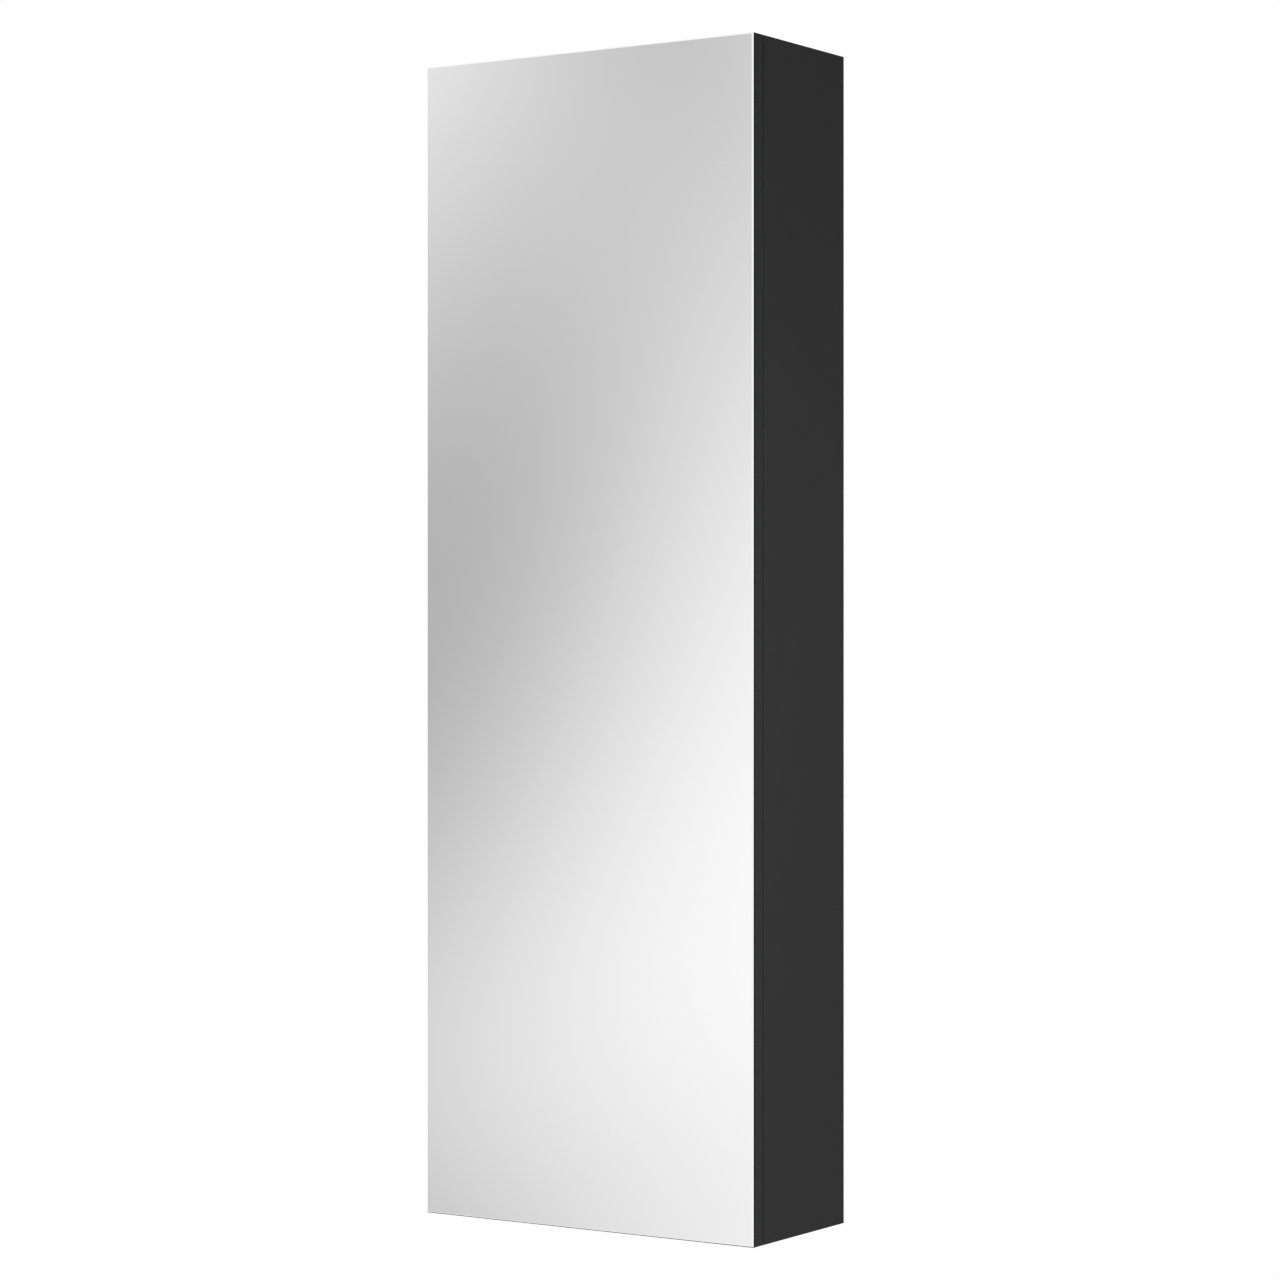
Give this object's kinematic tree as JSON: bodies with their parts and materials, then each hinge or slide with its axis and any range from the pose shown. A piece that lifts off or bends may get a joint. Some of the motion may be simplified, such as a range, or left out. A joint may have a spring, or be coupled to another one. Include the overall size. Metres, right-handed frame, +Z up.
{
  "type": "mirror cabinet",
  "caption": "Tall wall-hung mirror cabinet with one full-height mirror door, glass shelves and concealed cup hinges.",
  "frame": {"origin": "middle of the cabinet's footprint at the height of its base", "axes": "+Z up, -Y out of the mirror into the room, +Y towards the wall, +X to the right when facing the mirror"},
  "size_m": [0.4, 0.18, 1.2],
  "materials": {
    "board": "matte anthracite melamine-faced board",
    "mirror": "silvered float glass with polished bevels",
    "adhesive": "dark adhesive layer",
    "shelf_glass": "clear polished glass",
    "steel": "zinc-plated steel",
    "nickel": "nickel-plated steel",
    "dark_steel": "dark zinc-plated steel",
    "zinc": "cast zinc",
    "plastic": "matte dark plastic",
    "light_plastic": "matte grey plastic",
    "silicone": "clear silicone",
    "beech": "fluted beech"
  },
  "bodies": {
    "cabinet": {"side_panel_left": "board", "side_panel_right": "board", "top_panel": "board", "bottom_panel": "board", "back_panel": "board", "glass_shelf_1": "shelf_glass", "glass_shelf_2": "shelf_glass", "glass_shelf_3": "shelf_glass", "glass_shelf_4": "shelf_glass", "shelf_supports": "steel", "hanger_hook_left": "steel", "hanger_hook_right": "steel", "wall_plate_left": "steel", "wall_plate_right": "steel", "hanger_screws": "steel", "cam_bolts": "steel", "latch_screws": "steel", "latch_spring": "steel", "hinge_plate_screws": "steel", "hinge_arm_1": "nickel", "hinge_arm_2": "nickel", "hinge_arm_3": "nickel", "hinge_plate_1": "nickel", "hinge_plate_2": "nickel", "hinge_plate_3": "nickel", "hinge_arm_pins": "dark_steel", "hinge_adjusters": "dark_steel", "cam_nuts": "dark_steel", "hanger_adjusters": "dark_steel", "hanger_body_left": "zinc", "hanger_body_right": "zinc", "hanger_cap_left": "plastic", "hanger_cap_right": "plastic", "cam_caps": "plastic", "latch_housing": "plastic", "wood_dowels": "beech"},
    "hinge_outer_links": {"outer_link_1": "nickel", "outer_link_2": "nickel", "outer_link_3": "nickel"},
    "door": {"door_panel": "board", "mirror_glass": "mirror", "mirror_adhesive": "adhesive", "door_bumpers": "silicone", "hinge_cup_1": "nickel", "hinge_cup_2": "nickel", "hinge_cup_3": "nickel", "hinge_cup_screws": "steel", "hinge_cup_pins": "dark_steel", "strike_plate": "steel", "strike_screw": "steel"},
    "hinge_inner_links": {"inner_link_1": "nickel", "inner_link_2": "nickel", "inner_link_3": "nickel"},
    "latch_plunger_body": {"latch_plunger": "light_plastic", "latch_magnet": "dark_steel"}
  },
  "joints": [
    {"name": "outer_link_turn", "type": "hinge", "parent": "cabinet", "child": "hinge_outer_links", "pos_m": [-0.1735, -0.0638, 0.6], "axis": [0, 0, 1], "range_deg": [0, 37.69]},
    {"name": "door_swing", "type": "hinge", "parent": "hinge_outer_links", "child": "door", "pos_m": [-0.191, -0.074, 0.6], "axis": [0, 0, -1], "range_deg": [0, 132.59]},
    {"name": "inner_link_turn", "type": "hinge", "parent": "door", "child": "hinge_inner_links", "pos_m": [-0.1838, -0.0798, 0.6], "axis": [0, 0, 1], "range_deg": [0, 90.99]},
    {"name": "latch_push", "type": "slide", "parent": "cabinet", "child": "latch_plunger_body", "axis": [0, -1, 0], "range_m": [0, 0.02], "deforming": ["latch_spring"]}
  ],
  "couplings": [
    {"joint": "outer_link_turn", "follows": "door_swing", "ratio": 0.28351},
    {"joint": "inner_link_turn", "follows": "door_swing", "ratio": 0.68546},
    {"joint": "latch_push", "follows": "door_swing", "m_per_rad": 0.0085993}
  ]
}
